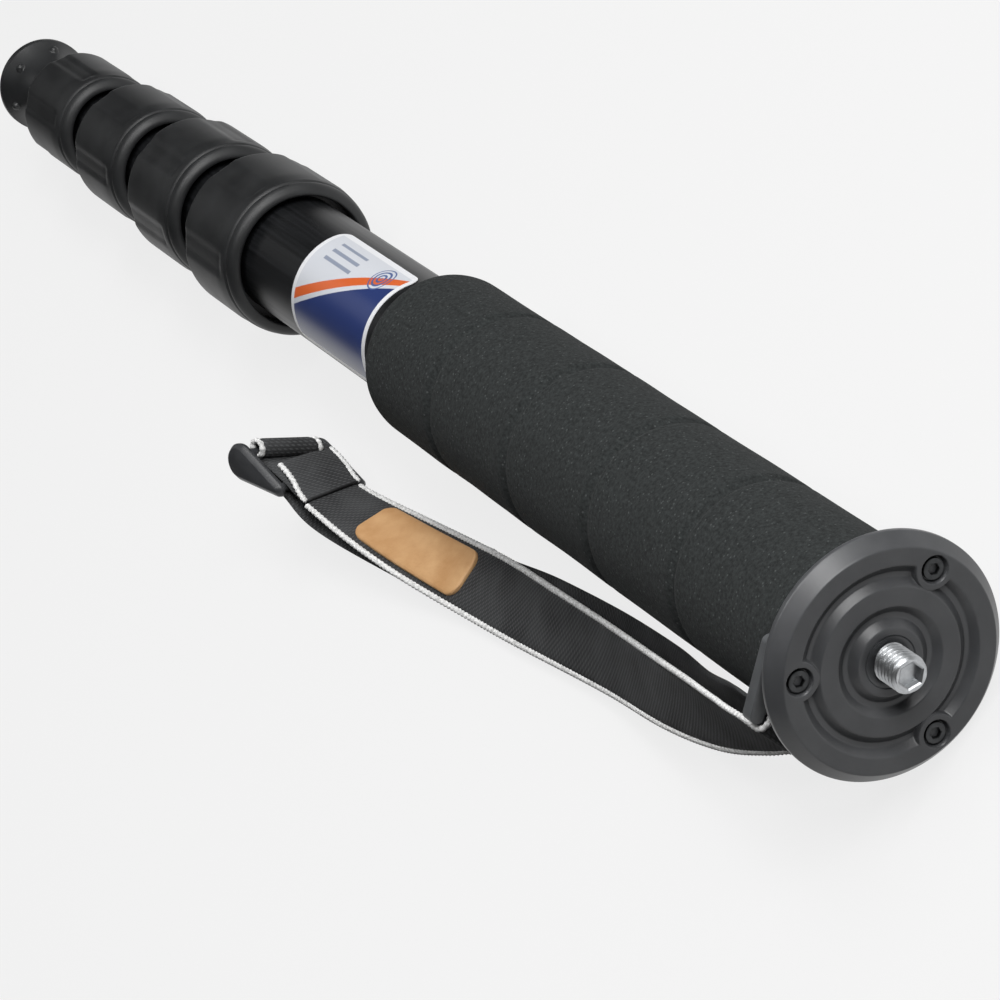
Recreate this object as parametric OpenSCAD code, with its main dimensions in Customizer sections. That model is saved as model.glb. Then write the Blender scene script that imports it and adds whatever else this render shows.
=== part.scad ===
// Five-section camera monopod, lying folded, with its wrist strap on the floor beside it.
// The origin is the middle of the plate's face; +X runs out along the camera stud and +Z is up.

/* [Top plate] */
// Diameter of the top plate
plate_d = 61.6; // [58:0.2:68]
// Thickness of the top plate
plate_t = 5; // [4.6:0.1:7]
// Diameter of the flat face inside the bevel
face_d = 55.6; // [53:0.2:57]
// Depth of the bevel at the rim
bevel_t = 3.8; // [2:0.1:4.2]
// Outer diameter of the outer groove in the face
groove_out_d = 47.2; // [45:0.2:48]
// Inner diameter of the outer groove in the face
groove_in_d = 36.2; // [32:0.2:38]
// Outer diameter of the inner groove in the face
dish_out_d = 28.2; // [24:0.2:30]
// Inner diameter of the inner groove in the face
dish_in_d = 16.4; // [15:0.2:20]
// Depth of the two round grooves
groove_depth = 1.6; // [1:0.1:2.2]
// Width of the rounded floor of each groove
groove_floor = 1; // [0.4:0.1:2]
// Diameter of the shallow seat round the camera stud
seat_d = 13; // [11.4:0.2:14.6]
// Depth of the shallow seat round the camera stud
stud_seat = 0.4; // [0.2:0.1:1]

/* [Plate screws] */
// Diameter of the circle that the screws stand on
screw_pcd = 47.2; // [46:0.2:48]
// Number of screws
screw_count = 3; // [2:1:4]
// Turn of the first screw from straight up
screw_turn = 79; // [60:1:100]
// Diameter of the screw's thread
screw_d = 3; // [2.5:0.1:3.5]
// Diameter of the screw's head
head_d = 5.5; // [5:0.1:6.5]
// Height of the screw's head
head_h = 2.2; // [1.6:0.1:2.8]
// Depth of the head below the face
head_sink = 0.5; // [0.2:0.1:0.8]
// Width of the head's hexagon socket across flats
head_socket = 2.5; // [2:0.1:3]
// Depth of the head's hexagon socket
head_socket_depth = 1.3; // [0.8:0.1:1.5]
// Diameter of the round boss that carries each screw across the groove
boss_d = 10; // [9:0.2:11]

/* [Camera stud] */
// Diameter of the stud's thread, three eighths of an inch
stud_d = 9.525; // [6.35:0.005:9.525]
// Length of the stud beyond the face
stud_out = 9.4; // [6:0.1:12]
// Diameter of the stud's shank inside the head
shank_d = 8; // [5:0.1:8.4]
// Length of the shank behind the stud's seat
shank_len = 20; // [12:0.5:24]
// Width of the stud's hexagon socket across flats
stud_socket = 5.5; // [3:0.1:5.8]
// Depth of the stud's hexagon socket
stud_socket_depth = 6; // [3:0.1:8]
// Chamfer at the stud's tip
stud_chamfer = 0.7; // [0.3:0.1:1]

/* [Head] */
// Diameter of the head plug's flange
flange_d = 53; // [52:0.2:54]
// Thickness of the head plug's flange
flange_t = 2.5; // [2:0.1:4]
// Length of the head plug inside the first tube
plug_len = 27; // [22:0.5:34]
// Diameter of the strap bracket's ring
bracket_d = 52; // [51.4:0.2:53]
// Thickness of the strap bracket's ring
bracket_t = 3; // [2.4:0.1:4]
// Diameter of the bar that the strap goes round
bar_d = 2.8; // [2.4:0.1:4]
// Distance from the bracket's ring to the middle of the bar
bar_back = 5.5; // [5:0.1:8]
// Diameter of the rounded lugs at the bar's ends
lug_d = 3.8; // [3.6:0.1:5]
// Height of the bar's middle above the leg's axis
bar_z = 1.2; // [0:0.1:2]

/* [Foam grip] */
// Diameter of the foam grip
grip_d = 47.8; // [44:0.2:50]
// Length of the foam grip
grip_len = 243.5; // [225:0.5:300]
// Distance from the grip's front to its first round groove
ring_first = 55.2; // [40:0.2:60]
// Distance from one round groove to the next
ring_pitch = 48.3; // [40:0.1:52]
// Number of round grooves
ring_count = 4; // [1:1:4]
// Width of a round groove
ring_w = 5; // [3:0.1:8]
// Depth of a round groove
ring_depth = 1.2; // [0.6:0.1:1.8]
// Rounding of the grip's two ends
grip_round = 3; // [1:0.1:4]

/* [Tubes] */
// Outer diameter of the first tube
tube_d = 36; // [34:0.2:38]
// Step in diameter from one tube to the next
tube_step = 4; // [3.8:0.1:4.2]
// Wall of each tube
tube_wall = 1.2; // [1:0.05:1.3]
// Bare length of the first tube between the grip and the first lock
bare_len = 100; // [88:0.5:130]
// Length of the guide bush at the top of each sliding tube
guide_len = 46; // [30:0.5:48]
// Gap from the head plug to the top of the second tube
nest_gap = 2; // [1:0.1:6]

/* [Label] */
// Length of the label along the tube
label_len = 53; // [40:0.5:60]
// Gap between the grip and the label
label_gap = 12; // [5:0.5:16]
// Angle that the label covers on the grip's strap side
label_low = 75; // [60:1:90]
// Angle that the label covers on the other side
label_high = 50; // [30:1:70]
// Thickness of the label
label_t = 0.2; // [0.15:0.05:0.3]

/* [Locks] */
// Length of each lock collar
lock_len = 36; // [32:0.5:42]
// Gap between one collar and the next
lock_gap = 17.5; // [14:0.1:20]
// Radial size of a collar over its tube
lock_wall = 6; // [5.8:0.1:7]
// Radial gap between the collar's front lip and its tube
lip_gap = 1.7; // [1.2:0.05:2]
// Rounding of the front lip's inner edge
lip_round = 1.2; // [0.8:0.1:1.4]
// Radial size of the rounding of the front lip's outer edge
lip_roll = 1.8; // [1:0.1:2]
// Length of the rounding of the front lip's outer edge
lip_roll_len = 3.2; // [2:0.1:4]
// Radial step from the collar's widest part down to its front lip
lip_drop = 0.8; // [0.4:0.1:1.2]
// Distance from the collar's front to its widest part
lip_taper = 9; // [7:0.5:12]
// Depth of the crease behind the front lip
crease_depth = 0.4; // [0.2:0.1:0.8]
// Width of the crease behind the front lip
crease_w = 1; // [0.6:0.1:1.6]
// Length of the rubber lip in front of the nut
lip_len = 3; // [2.6:0.1:4]
// Wall of the threaded sleeve
sleeve_wall = 1.9; // [1.6:0.05:2]
// Distance from the collar's front to the threaded sleeve
sleeve_inset = 8; // [5:0.5:10]
// Wall of the lock nut
nut_wall = 1.75; // [1.5:0.05:2]
// Thickness of the lock nut's end wall
nut_end = 3; // [2:0.1:4]
// Distance from a tube's end to the back of its collar
seat_depth = 14; // [12:0.1:16]
// Wall of the collet at its thin end
collet_tip = 0.9; // [0.7:0.05:1]
// Length of the collet's straight part
collet_straight = 2; // [1:0.1:3]
// Width of the collet's slit
slit_w = 1.5; // [1:0.1:3]
// Number of pads round a collar
pad_count = 6; // [4:1:10]
// Angle of the recess between two pads
pad_recess = 14; // [8:1:20]
// Depth of the recess between two pads
pad_depth = 0.7; // [0.4:0.05:1]
// Distance from the collar's front to the pads
pad_inset = 7; // [6.8:0.1:9]
// Chamfer at the collar's back
lock_chamfer = 1; // [0.5:0.1:1.4]

/* [Foot] */
// Diameter of the rubber foot's rim
foot_d = 30.6; // [28:0.2:34]
// Length of the rubber foot
foot_len = 23.5; // [21:0.1:28]
// Diameter of the foot's neck
neck_d = 22; // [21.4:0.2:24]
// Height of the foot's neck
neck_len = 4; // [3:0.1:5]
// Height of the hollow under the foot
hollow_len = 9; // [8:0.1:10]
// Diameter of the hollow at the foot's rim
hollow_d = 24.6; // [22:0.2:25.4]
// Diameter of the flat floor of the hollow
hollow_floor_d = 18; // [17:0.2:19]
// Thickness of the foot's rim
rim_t = 3; // [2:0.1:4]
// Curve of the foot's flare, 1 for a straight cone
flare_curve = 2.2; // [1:0.1:3]
// Number of nubs round the foot
nub_count = 6; // [3:1:8]
// Place of the nubs along the flare, from its neck to its rim
nub_at = 0.74; // [0.5:0.01:0.9]
// Diameter of a nub
nub_d = 2.8; // [2:0.1:3.4]
// Gap between the last collar and the foot plug's flange
foot_gap = 7; // [5:0.1:10]
// Length of the foot plug inside the last tube
foot_plug_len = 22; // [16:0.5:30]
// Thickness of the foot plug's flange
foot_flange_t = 2; // [1.5:0.1:3]
// Overhang of the foot plug's flange past the last tube
foot_flange_over = 0.6; // [0.3:0.1:0.8]
// Diameter of the stem that carries the rubber
stem_d = 10; // [9:0.2:12]
// Diameter of the foot screw's thread
foot_screw_d = 5; // [4:0.1:6]
// Length of the foot screw's thread
foot_screw_len = 20; // [12:0.5:24]
// Diameter of the foot screw's head
foot_head_d = 8.4; // [7:0.1:9]
// Height of the foot screw's head
foot_head_h = 2.8; // [2:0.1:3.4]
// Diameter of the foot screw's washer
washer_d = 15; // [13:0.2:16]
// Thickness of the foot screw's washer
washer_t = 1.2; // [0.8:0.1:1.6]

/* [Strap] */
// Width of the webbing
strap_w = 20; // [18:0.5:21]
// Thickness of the webbing
strap_t = 1.4; // [1:0.1:1.6]
// Length of the leather patch
patch_len = 50; // [30:1:60]
// Width of the leather patch
patch_w = 14.5; // [10:0.5:16]
// Thickness of the leather patch
patch_t = 1.2; // [0.8:0.1:2]
// Corner radius of the leather patch
patch_r = 4; // [2:0.5:6]
// Station of the webbing's route at the middle of the patch
patch_at = 7.85; // [7.7:0.05:8.2]
// Distance between the two round ends of the slider's side plates
slider_len = 14.5; // [12:0.5:18]
// Diameter of the side plates' far end
slider_far_d = 10; // [9.4:0.1:12]
// Diameter of the side plates' near end
slider_near_d = 5.4; // [4.6:0.1:8]
// Thickness of the slider's side plates
slider_side = 2.4; // [1.6:0.1:3.5]
// Tilt of the slider against the webbing
slider_tilt = 10; // [5:1:15]
// Diameter of the slider's second bar
slider_bar_d = 2.6; // [2:0.1:3.2]

/* [Clearances] */
// Radial gap of a glued or pressed seat
glue_gap = 0.05; // [0.02:0.01:0.08]
// Radial gap of a running or sliding fit
run_gap = 0.05; // [0.03:0.01:0.09]
// Gap between pieces that move past each other
move_gap = 0.35; // [0.3:0.05:0.5]
// Gap between the webbing and what it goes round
cloth_gap = 0.3; // [0.3:0.05:0.5]
// Gap of stitching and glue between the webbing and the leather patch
patch_gap = 0.45; // [0.4:0.05:0.8]
// Gap between the webbing and the foam grip
grip_clear = 0.7; // [0.6:0.1:2]

/* [Hidden] */
$fn = 96;

tube_count = 5;
plate_r = plate_d / 2;
flange_back = plate_t + flange_t;
bracket_back = flange_back + bracket_t;
plug_end = flange_back + plug_len;
grip_start = bracket_back;
grip_end = grip_start + grip_len;
// Turn of each collar's first recess from straight up
lock_turn = [22, 6, 20, 34];

// The webbing's two layers lie a little apart, wide apart where they go round a bar
loop_h = bar_d / 2 + cloth_gap + strap_t / 2;
bar_x = -(bracket_back + bar_back - bracket_t / 2);
bar_y = -(grip_d / 2 + grip_clear + strap_t / 2 + loop_h);
// The leg lies on the plate's rim and the first collar's back edge, so the floor slopes along it
floor_slope = (plate_r - lock_r(1)) / lock_back(1);
// Middle line of the webbing from the bracket's bar to the slider:
// distance along the leg, distance out from the bar, height over the sloping floor, bank,
// half the layers' gap and the inner layer's bulge towards the leg
strap_route = [
    [0, 0, plate_r + bar_z, 90, loop_h, 0],
    [-9, 0, plate_r + bar_z - 9 * floor_slope, 90, loop_h, 0],
    [-21.4, -2.4, 29.4, 77, 2.3, 0.8],
    [-43.8, -5.8, 23.4, 59, 2.5, 0.3],
    [-75, -8.4, 16.3, 46, 2.9, 1.4],
    [-113, -10.9, 9.4, 39, 1.9, 2.7],
    [-152, -14.1, 6.5, 25, 1.2, 2.5],
    [-191, -17.1, 3.1, 2, 1.2, 0.8],
    [-230, -21, 5.8, -20, 1.6, 0],
    [-263, -24.1, 11.4, -45, 3, 0],
    [-276.5, -22.8, 16.8, -53, 3, 0],
    [-290, -20.9, 23.2, -57, loop_h, 0]
];
route_steps = 6;
wrap_steps = 6;
patch_steps = 12;

function tube_r(i) = tube_d / 2 - (i - 1) * tube_step / 2;
function bore_r(i) = tube_r(i) - tube_wall;
function lock_front(i) = grip_end + bare_len + (i - 1) * (lock_len + lock_gap);
function lock_back(i) = lock_front(i) + lock_len;
function tube_end(i) = i < tube_count ? lock_back(i) - seat_depth : lock_back(i - 1) + foot_gap;
section_len = tube_end(2) - plug_end - nest_gap;
function tube_top(i) = i == 1 ? flange_back : tube_end(i) - section_len;
function lock_r(i) = tube_r(i) + lock_wall;
function sleeve_r(i) = tube_r(i) + glue_gap + sleeve_wall;
function nut_in_r(i) = sleeve_r(i) + run_gap;
function nut_out_r(i) = nut_in_r(i) + nut_wall;
foot_top = tube_end(tube_count) + foot_flange_t;
foot_end = foot_top + foot_len;
hollow_top = foot_end - hollow_len;

// Points of an arc in a turned profile
function arc(c, r, a0, a1, n = 6) = [for (k = [0:n]) c + r * [cos(a0 + (a1 - a0) * k / n), sin(a0 + (a1 - a0) * k / n)]];
function hex_r(flats) = flats / 2 / cos(30);
function unit(v) = v / norm(v);

// Smooth curve through the route's stations
function blend(a, b, c, d, t) =
    0.5 * (2 * b + (c - a) * t + (2 * a - 5 * b + 4 * c - d) * t * t + (3 * b - a - 3 * c + d) * t * t * t);
last = len(strap_route) - 1;
function route(s) =
    let (k = min(floor(s), last - 1), t = s - k)
    blend(strap_route[max(k - 1, 0)], strap_route[k], strap_route[k + 1], strap_route[min(k + 2, last)], t);
function route_point(s) = let (q = route(s)) [bar_x + q[0], bar_y + q[1], q[2] - plate_r - floor_slope * q[0]];
function route_dir(s) = unit(route_point(min(s + 0.05, last)) - route_point(max(s - 0.05, 0)));
// Across the webbing, square to its run
function route_across(s) =
    let (bank = route(s)[3], w = [0, cos(bank), sin(bank)], d = route_dir(s)) unit(w - (w * d) * d);
function route_up(s) = cross(route_across(s), route_dir(s));
function route_half(s) = route(s)[4];

// Places its children with their +Z running from the plate towards the foot and their +X up
module on_axis(t = 0) {
    rotate([0, -90, 0]) translate([0, 0, t]) children();
}

// A plain ring round the axis
module ring(t0, t1, r_in, r_out) {
    on_axis() rotate_extrude() polygon([[r_in, t0], [r_out, t0], [r_out, t1], [r_in, t1]]);
}

// Copies its children round the axis where the screws stand
module at_screws() {
    for (k = [0:screw_count - 1])
        on_axis() rotate(screw_turn + k * 360 / screw_count) translate([screw_pcd / 2, 0, 0]) children();
}

// A shallow round groove in the face with two sloping walls and a narrow flat floor
module face_groove(r_in, r_out) {
    mid = (r_in + r_out) / 2;
    on_axis() rotate_extrude() polygon([
        [r_in, -1], [r_out, -1], [r_out, 0], [mid + groove_floor / 2, groove_depth],
        [mid - groove_floor / 2, groove_depth], [r_in, 0]
    ]);
}

module top_plate() {
    bore = shank_d / 2 + glue_gap;
    color("#47484a") difference() {
        on_axis() rotate_extrude() polygon([
            [bore, stud_seat], [seat_d / 2, stud_seat], [seat_d / 2, 0], [face_d / 2, 0],
            [plate_r, bevel_t], [plate_r, plate_t], [bore, plate_t]
        ]);
        face_groove(dish_in_d / 2, dish_out_d / 2);
        difference() {
            face_groove(groove_in_d / 2, groove_out_d / 2);
            at_screws() translate([0, 0, -2]) cylinder(d = boss_d, h = groove_depth + 3);
        }
        at_screws() translate([0, 0, -1]) cylinder(r = head_d / 2 + run_gap, h = 1 + head_sink + head_h);
        at_screws() cylinder(r = screw_d / 2 + glue_gap, h = plate_t + 1);
    }
}

module plate_screws() {
    shank = bracket_back - head_sink - head_h;
    color("#2b2c2d") at_screws() difference() {
        union() {
            translate([0, 0, head_sink]) cylinder(d = head_d, h = head_h);
            translate([0, 0, head_sink + head_h]) cylinder(d = screw_d, h = shank);
        }
        translate([0, 0, head_sink - 1]) cylinder(r = hex_r(head_socket), h = 1 + head_socket_depth, $fn = 6);
    }
}

module camera_stud() {
    color("#c9cbcd") difference() {
        on_axis() rotate_extrude() polygon([
            [0, -stud_out], [stud_d / 2 - stud_chamfer, -stud_out], [stud_d / 2, stud_chamfer - stud_out],
            [stud_d / 2, stud_seat], [shank_d / 2, stud_seat],
            [shank_d / 2, stud_seat + shank_len], [0, stud_seat + shank_len]
        ]);
        on_axis(-stud_out - 1) cylinder(r = hex_r(stud_socket), h = stud_socket_depth + 1, $fn = 6);
    }
}

module head_plug() {
    bore = shank_d / 2 + glue_gap;
    body = bore_r(1) - glue_gap;
    color("#3a3b3d") difference() {
        on_axis() rotate_extrude() polygon([
            [bore, plate_t], [flange_d / 2, plate_t], [flange_d / 2, flange_back],
            [body, flange_back], [body, plug_end], [bore, plug_end]
        ]);
        at_screws() translate([0, 0, plate_t - 1]) cylinder(r = screw_d / 2 + glue_gap, h = flange_t + 2);
    }
}

// Ring under the plate with two arms and the upright bar that the strap goes round
module strap_bracket() {
    lug_z = strap_w / 2 + cloth_gap + lug_d / 2;
    notch_y = bar_y + loop_h + strap_t / 2 + cloth_gap;
    lug_end = -bar_x + lug_d / 2;
    root_y = (bracket_d / 2 + lug_d / 4) * sin(26);
    root_z = (bracket_d / 2 + lug_d / 4) * cos(26);
    color("#55575a") difference() {
        union() {
            difference() {
                ring(flange_back, bracket_back, tube_r(1) + glue_gap, bracket_d / 2);
                translate([-bracket_back - 1, -plate_d, bar_z + lug_d / 2 - lug_z])
                    cube([bracket_t + 2, plate_d + notch_y, 2 * lug_z - lug_d]);
            }
            for (side = [-1, 1]) {
                hull() {
                    translate([-lug_end, bar_y, bar_z + side * lug_z]) rotate([0, 90, 0])
                        cylinder(d = lug_d, h = lug_d, $fn = 32);
                    translate([-bracket_back, -root_y, side * root_z]) rotate([0, 90, 0])
                        cylinder(d = lug_d, h = bracket_t, $fn = 32);
                }
            }
            translate([bar_x, bar_y, bar_z - lug_z]) cylinder(d = bar_d, h = 2 * lug_z);
        }
        at_screws() translate([0, 0, flange_back - 1]) cylinder(r = screw_d / 2 + glue_gap, h = bracket_t + 2);
    }
}

module foam_grip() {
    r = grip_d / 2;
    in = tube_r(1) + glue_gap;
    grooves = [for (k = [0:ring_count - 1], j = [-6:6])
        let (a = j * 30)
        [r - ring_depth * (1 + cos(a)) / 2, grip_start + ring_first + k * ring_pitch + j * ring_w / 12]];
    color("#2f3132") on_axis() rotate_extrude() polygon(concat(
        [[in, grip_start]],
        arc([r - grip_round, grip_start + grip_round], grip_round, -90, 0),
        grooves,
        arc([r - grip_round, grip_end - grip_round], grip_round, 0, 90),
        [[in, grip_end]]
    ));
}

module tube_label() {
    r = tube_r(1) + glue_gap;
    color("#e6e7e9") on_axis(grip_end + label_gap) rotate(-label_low)
        rotate_extrude(angle = label_low + label_high) translate([r, 0]) square([label_t, label_len]);
}

module section_tube(i) {
    color("#1d1e20") ring(tube_top(i), tube_end(i), bore_r(i), tube_r(i));
}

module guide_bush(i) {
    color("#d8d6cf") ring(tube_top(i), tube_top(i) + guide_len, tube_r(i) + glue_gap, bore_r(i - 1) - run_gap);
}

module thread_sleeve(i) {
    color("#8e9194") ring(lock_front(i) + sleeve_inset, tube_end(i) + 1, tube_r(i) + glue_gap, sleeve_r(i));
}

module collet(i) {
    in = tube_r(i + 1) + run_gap;
    tip = tube_r(i + 1) + collet_tip;
    start = tube_end(i);
    end = lock_back(i) - nut_end - move_gap;
    color("#e8e6df") difference() {
        on_axis() rotate_extrude() polygon([
            [in, start], [tube_r(i) - glue_gap, start], [tube_r(i) - glue_gap, start + collet_straight], [tip, end], [in, end]
        ]);
        on_axis(start - 1) translate([0, -slit_w / 2, 0]) cube([tube_r(i) + 1, slit_w, seat_depth]);
    }
}

module lock_nut(i) {
    front = lock_front(i) + lip_len;
    back = lock_back(i);
    cone = tube_end(i) + 1 + move_gap;
    color("#202123") on_axis() rotate_extrude() polygon([
        [nut_in_r(i), front], [nut_out_r(i), front], [nut_out_r(i), back],
        [tube_r(i + 1) + move_gap, back], [tube_r(i + 1) + move_gap, back - nut_end],
        [tube_r(i + 1) + collet_tip + move_gap, back - nut_end],
        [tube_r(i) + move_gap, tube_end(i) + collet_straight], [tube_r(i) + move_gap, cone], [nut_in_r(i), cone]
    ]);
}

module lock_grip(i) {
    front = lock_front(i);
    back = lock_back(i);
    lip_r = tube_r(i) + lip_gap;
    crease = front + lip_roll_len + crease_w / 2;
    in = nut_out_r(i) + glue_gap;
    out = lock_r(i);
    low = out - lip_drop;
    color("#2c2d2f") difference() {
        on_axis() rotate_extrude() polygon(concat(
            arc([lip_r + lip_round, front + lip_round], lip_round, 180, 270),
            [for (k = [0:6]) [low - lip_roll * (1 - sin(k * 15)), front + lip_roll_len * (1 - cos(k * 15))]],
            [[low, crease], [low - crease_depth, crease + crease_w / 2], [low, crease + crease_w]],
            [[out, front + lip_taper], [out, back - lock_chamfer], [out - lock_chamfer, back], [in, back], [in, front + lip_len], [lip_r, front + lip_len]]
        ));
        for (k = [0:pad_count - 1])
            on_axis(front + pad_inset) rotate(lock_turn[i - 1] + k * 360 / pad_count - pad_recess / 2)
                rotate_extrude(angle = pad_recess) translate([out - pad_depth, 0]) square([pad_depth + 1, lock_len]);
    }
}

module foot_plug() {
    end = tube_end(tube_count);
    color("#3a3b3d") difference() {
        on_axis() rotate_extrude() polygon([
            [0, end - foot_plug_len], [bore_r(tube_count) - glue_gap, end - foot_plug_len],
            [bore_r(tube_count) - glue_gap, end], [tube_r(tube_count) + foot_flange_over, end],
            [tube_r(tube_count) + foot_flange_over, foot_top], [stem_d / 2, foot_top],
            [stem_d / 2, hollow_top], [0, hollow_top]
        ]);
        on_axis(hollow_top - foot_screw_len) cylinder(r = foot_screw_d / 2 + glue_gap, h = foot_screw_len + 1);
    }
}

// Trumpet-shaped rubber foot with a rolled neck and a ring of small nubs on its flare
module rubber_foot() {
    bore = stem_d / 2 + glue_gap;
    rim = foot_d / 2;
    roll = neck_len / 2;
    waist = neck_d / 2 - 0.8;
    flare_len = foot_len - neck_len - rim_t;
    function flare(u) = [waist + (rim - waist) * pow(u, flare_curve), foot_top + neck_len + flare_len * u];
    color("#2a2b2c") {
        on_axis() rotate_extrude() polygon(concat(
            [[bore, foot_top], [neck_d / 2 - roll, foot_top]],
            arc([neck_d / 2 - roll, foot_top + roll], roll, -90, 60),
            [for (k = [0:8]) flare(k / 8)],
            [[rim, foot_end - 1], [rim - 0.8, foot_end], [hollow_d / 2, foot_end]],
            [[hollow_floor_d / 2, hollow_top], [bore, hollow_top]]
        ));
        for (k = [0:nub_count - 1])
            on_axis(flare(nub_at)[1]) rotate(k * 360 / nub_count) translate([flare(nub_at)[0], 0, 0])
                sphere(d = nub_d, $fn = 24);
    }
}

module foot_washer() {
    color("#b9bbbd") ring(hollow_top, hollow_top + washer_t, foot_screw_d / 2 + glue_gap, washer_d / 2);
}

module foot_screw() {
    head = hollow_top + washer_t;
    color("#b9bbbd") difference() {
        union() {
            on_axis(head) cylinder(d = foot_head_d, h = foot_head_h);
            on_axis(head - washer_t - foot_screw_len + 1) cylinder(d = foot_screw_d, h = foot_screw_len + washer_t - 1);
        }
        on_axis(head + foot_head_h / 2) cylinder(r = hex_r(foot_screw_d - 1), h = foot_head_h, $fn = 6);
    }
}

// One ring of the webbing's section: its middle, the way across and the way out of the loop
function strap_ring(p, across, out) = [
    p + across * strap_w / 2 + out * strap_t / 2, p - across * strap_w / 2 + out * strap_t / 2,
    p - across * strap_w / 2 - out * strap_t / 2, p + across * strap_w / 2 - out * strap_t / 2
];
function layer_ring(s, side) =
    let (bulge = side < 0 ? [0, route(s)[5], 0] : [0, 0, 0])
    strap_ring(route_point(s) + side * route_half(s) * route_up(s) + bulge, route_across(s), side * route_up(s));
// The half turn round a bar, from the way out of one layer to the way out of the other
function wrap_ring(s, from, ahead, a) =
    let (out = cos(a) * from + sin(a) * ahead)
    strap_ring(route_point(s) + route_half(s) * out, route_across(s), out);
// Two triangles between one ring and the next, split the same way on the webbing's two faces
function ring_faces(a, b, j) =
    let (m = (j + 1) % 4)
    j < 2 ? [[a + j, b + m, b + j], [a + j, a + m, b + m]] : [[a + j, a + m, b + j], [a + m, b + m, b + j]];

module wrist_strap() {
    top = [for (k = [0:last * route_steps]) layer_ring(k / route_steps, 1)];
    far = [for (k = [1:wrap_steps - 1]) wrap_ring(last, route_up(last), route_dir(last), 180 * k / wrap_steps)];
    low = [for (k = [last * route_steps:-1:0]) layer_ring(k / route_steps, -1)];
    near = [for (k = [1:wrap_steps - 1]) wrap_ring(0, -route_up(0), -route_dir(0), 180 * k / wrap_steps)];
    rings = concat(top, far, low, near);
    n = len(rings);
    faces = [for (k = [0:n - 1], j = [0:3]) each ring_faces(k * 4, (k + 1) % n * 4, j)];
    color("#3b3c3d") polyhedron([for (r = rings) each r], faces);
}

// Runs its children in the frame of the far bar: X along the webbing, Y across it, Z out of its top
module at_slider() {
    x = route_dir(last);
    y = -route_across(last);
    z = route_up(last);
    p = route_point(last);
    multmatrix([[x[0], y[0], z[0], p[0]], [x[1], y[1], z[1], p[1]], [x[2], y[2], z[2], p[2]], [0, 0, 0, 1]]) children();
}

module strap_slider() {
    side_y = strap_w / 2 + 2 * cloth_gap;
    bar_len = 2 * side_y + slider_side;
    color("#343537") at_slider() rotate([0, slider_tilt, 0]) {
        for (side = [-1, 1])
            translate([0, side * (side_y + slider_side / 2), 0]) rotate([90, 0, 0])
                linear_extrude(slider_side, center = true) hull() {
                    translate([0.6, -1.2]) circle(d = slider_far_d, $fn = 32);
                    translate([0.6 - slider_len, -4]) circle(d = slider_near_d, $fn = 32);
                }
        rotate([90, 0, 0]) cylinder(d = bar_d, h = bar_len, center = true);
        translate([1.6 - slider_len, 0, -2.4]) rotate([90, 0, 0]) cylinder(d = slider_bar_d, h = bar_len, center = true);
    }
}

// Leather patch that follows the webbing's top layer
module leather_patch() {
    span = patch_len / norm(route_point(patch_at + 0.5) - route_point(patch_at - 0.5));
    rings = [for (k = [0:patch_steps])
        let (
            u = k / patch_steps,
            s = patch_at + (u - 0.5) * span,
            edge = max(0, patch_r - min(u, 1 - u) * patch_len),
            half = patch_w / 2 - patch_r + sqrt(patch_r * patch_r - edge * edge * 0.98),
            up = route_up(s),
            p = route_point(s) + up * (route_half(s) + strap_t / 2 + patch_gap),
            w = route_across(s) * half
        )
        [p + w + up * patch_t, p - w + up * patch_t, p - w, p + w]];
    n = len(rings);
    sides = [for (k = [0:n - 2], j = [0:3]) each ring_faces(k * 4, (k + 1) * 4, j)];
    e = (n - 1) * 4;
    caps = [[0, 2, 1], [0, 3, 2], [e, e + 1, e + 2], [e, e + 2, e + 3]];
    color("#c49a6c") polyhedron([for (r = rings) each r], concat(sides, caps));
}

top_plate();
plate_screws();
camera_stud();
head_plug();
strap_bracket();
foam_grip();
tube_label();
section_tube(1);  // tube_1
section_tube(2);  // tube_2
section_tube(3);  // tube_3
section_tube(4);  // tube_4
section_tube(5);  // tube_5
guide_bush(2);  // guide_bush_2
guide_bush(3);  // guide_bush_3
guide_bush(4);  // guide_bush_4
guide_bush(5);  // guide_bush_5
thread_sleeve(1);  // thread_sleeve_1
thread_sleeve(2);  // thread_sleeve_2
thread_sleeve(3);  // thread_sleeve_3
thread_sleeve(4);  // thread_sleeve_4
collet(1);  // collet_1
collet(2);  // collet_2
collet(3);  // collet_3
collet(4);  // collet_4
lock_nut(1);  // lock_nut_1
lock_nut(2);  // lock_nut_2
lock_nut(3);  // lock_nut_3
lock_nut(4);  // lock_nut_4
lock_grip(1);  // lock_grip_1
lock_grip(2);  // lock_grip_2
lock_grip(3);  // lock_grip_3
lock_grip(4);  // lock_grip_4
foot_plug();
rubber_foot();
foot_washer();
foot_screw();
wrist_strap();
strap_slider();
leather_patch();
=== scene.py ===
import math
import bpy
from mathutils import Matrix, Vector, noise


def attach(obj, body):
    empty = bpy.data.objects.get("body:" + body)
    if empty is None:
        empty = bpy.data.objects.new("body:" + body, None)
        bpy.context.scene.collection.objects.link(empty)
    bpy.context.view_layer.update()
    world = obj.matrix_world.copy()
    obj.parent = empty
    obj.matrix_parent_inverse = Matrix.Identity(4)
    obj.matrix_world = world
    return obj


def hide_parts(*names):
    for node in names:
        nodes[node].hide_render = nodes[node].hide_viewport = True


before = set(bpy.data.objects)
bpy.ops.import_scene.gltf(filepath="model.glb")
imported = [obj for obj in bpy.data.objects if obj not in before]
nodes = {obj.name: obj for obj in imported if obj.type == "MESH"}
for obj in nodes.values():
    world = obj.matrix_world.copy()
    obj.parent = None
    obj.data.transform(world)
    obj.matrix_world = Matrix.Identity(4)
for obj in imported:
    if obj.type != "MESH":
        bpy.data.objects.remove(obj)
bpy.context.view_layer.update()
mm = 0.001
print("frame loaded:", len(nodes), "solids")


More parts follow.
